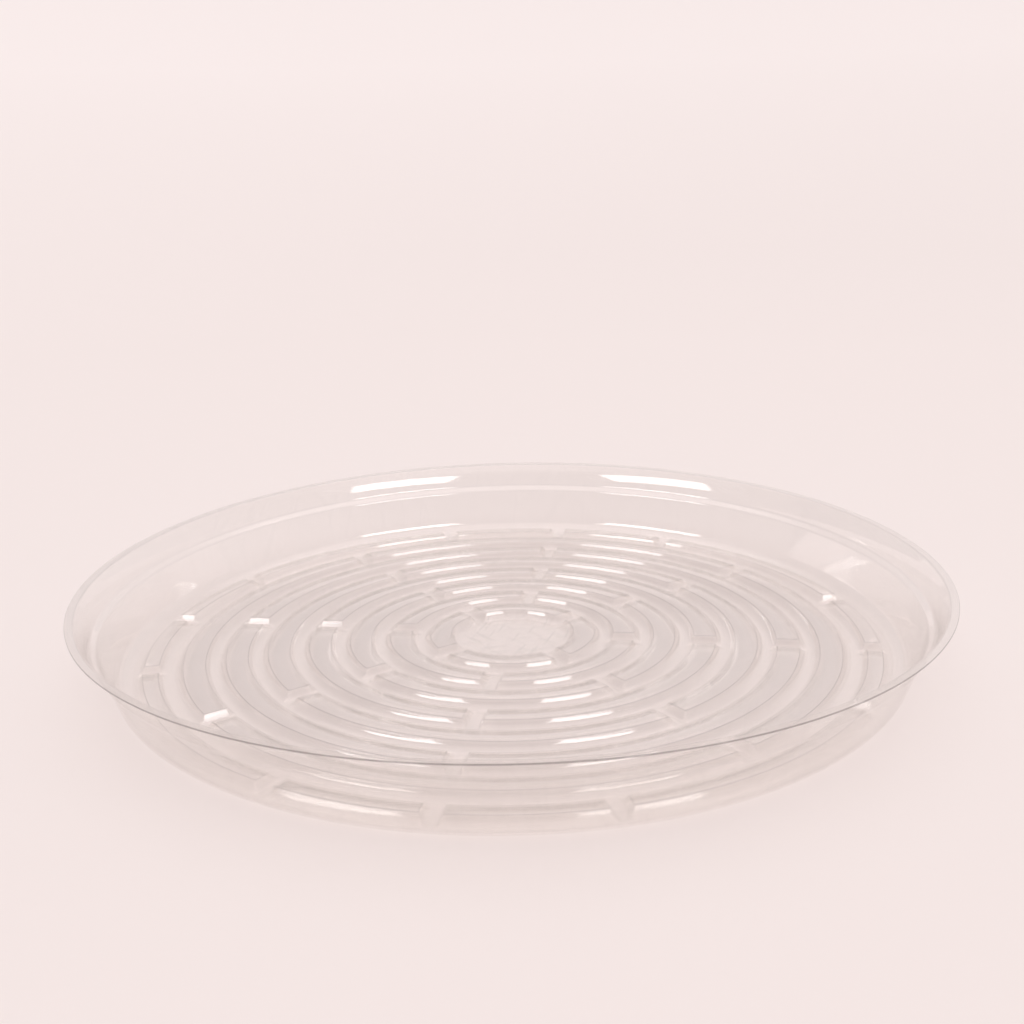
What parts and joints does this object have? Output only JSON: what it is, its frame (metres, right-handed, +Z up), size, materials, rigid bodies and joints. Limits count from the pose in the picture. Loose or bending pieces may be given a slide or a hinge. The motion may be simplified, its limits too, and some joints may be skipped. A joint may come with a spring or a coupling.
{
  "type": "plant saucer",
  "caption": "Shallow round saucer of clear thin plastic with broken rings of hollow ribs on its floor and a stepped, flared wall, to stand under a plant pot and catch water.",
  "frame": {"origin": "on the saucer's axis, in the plane that it stands on", "axes": "+Z up along the axis, towards the open rim; +X and +Y through gaps in the second ring of ribs"},
  "size_m": [0.356, 0.356, 0.0325],
  "materials": {
    "clear_plastic": "clear, glossy"
  },
  "bodies": {
    "root": {"saucer": "clear_plastic"}
  },
  "joints": []
}
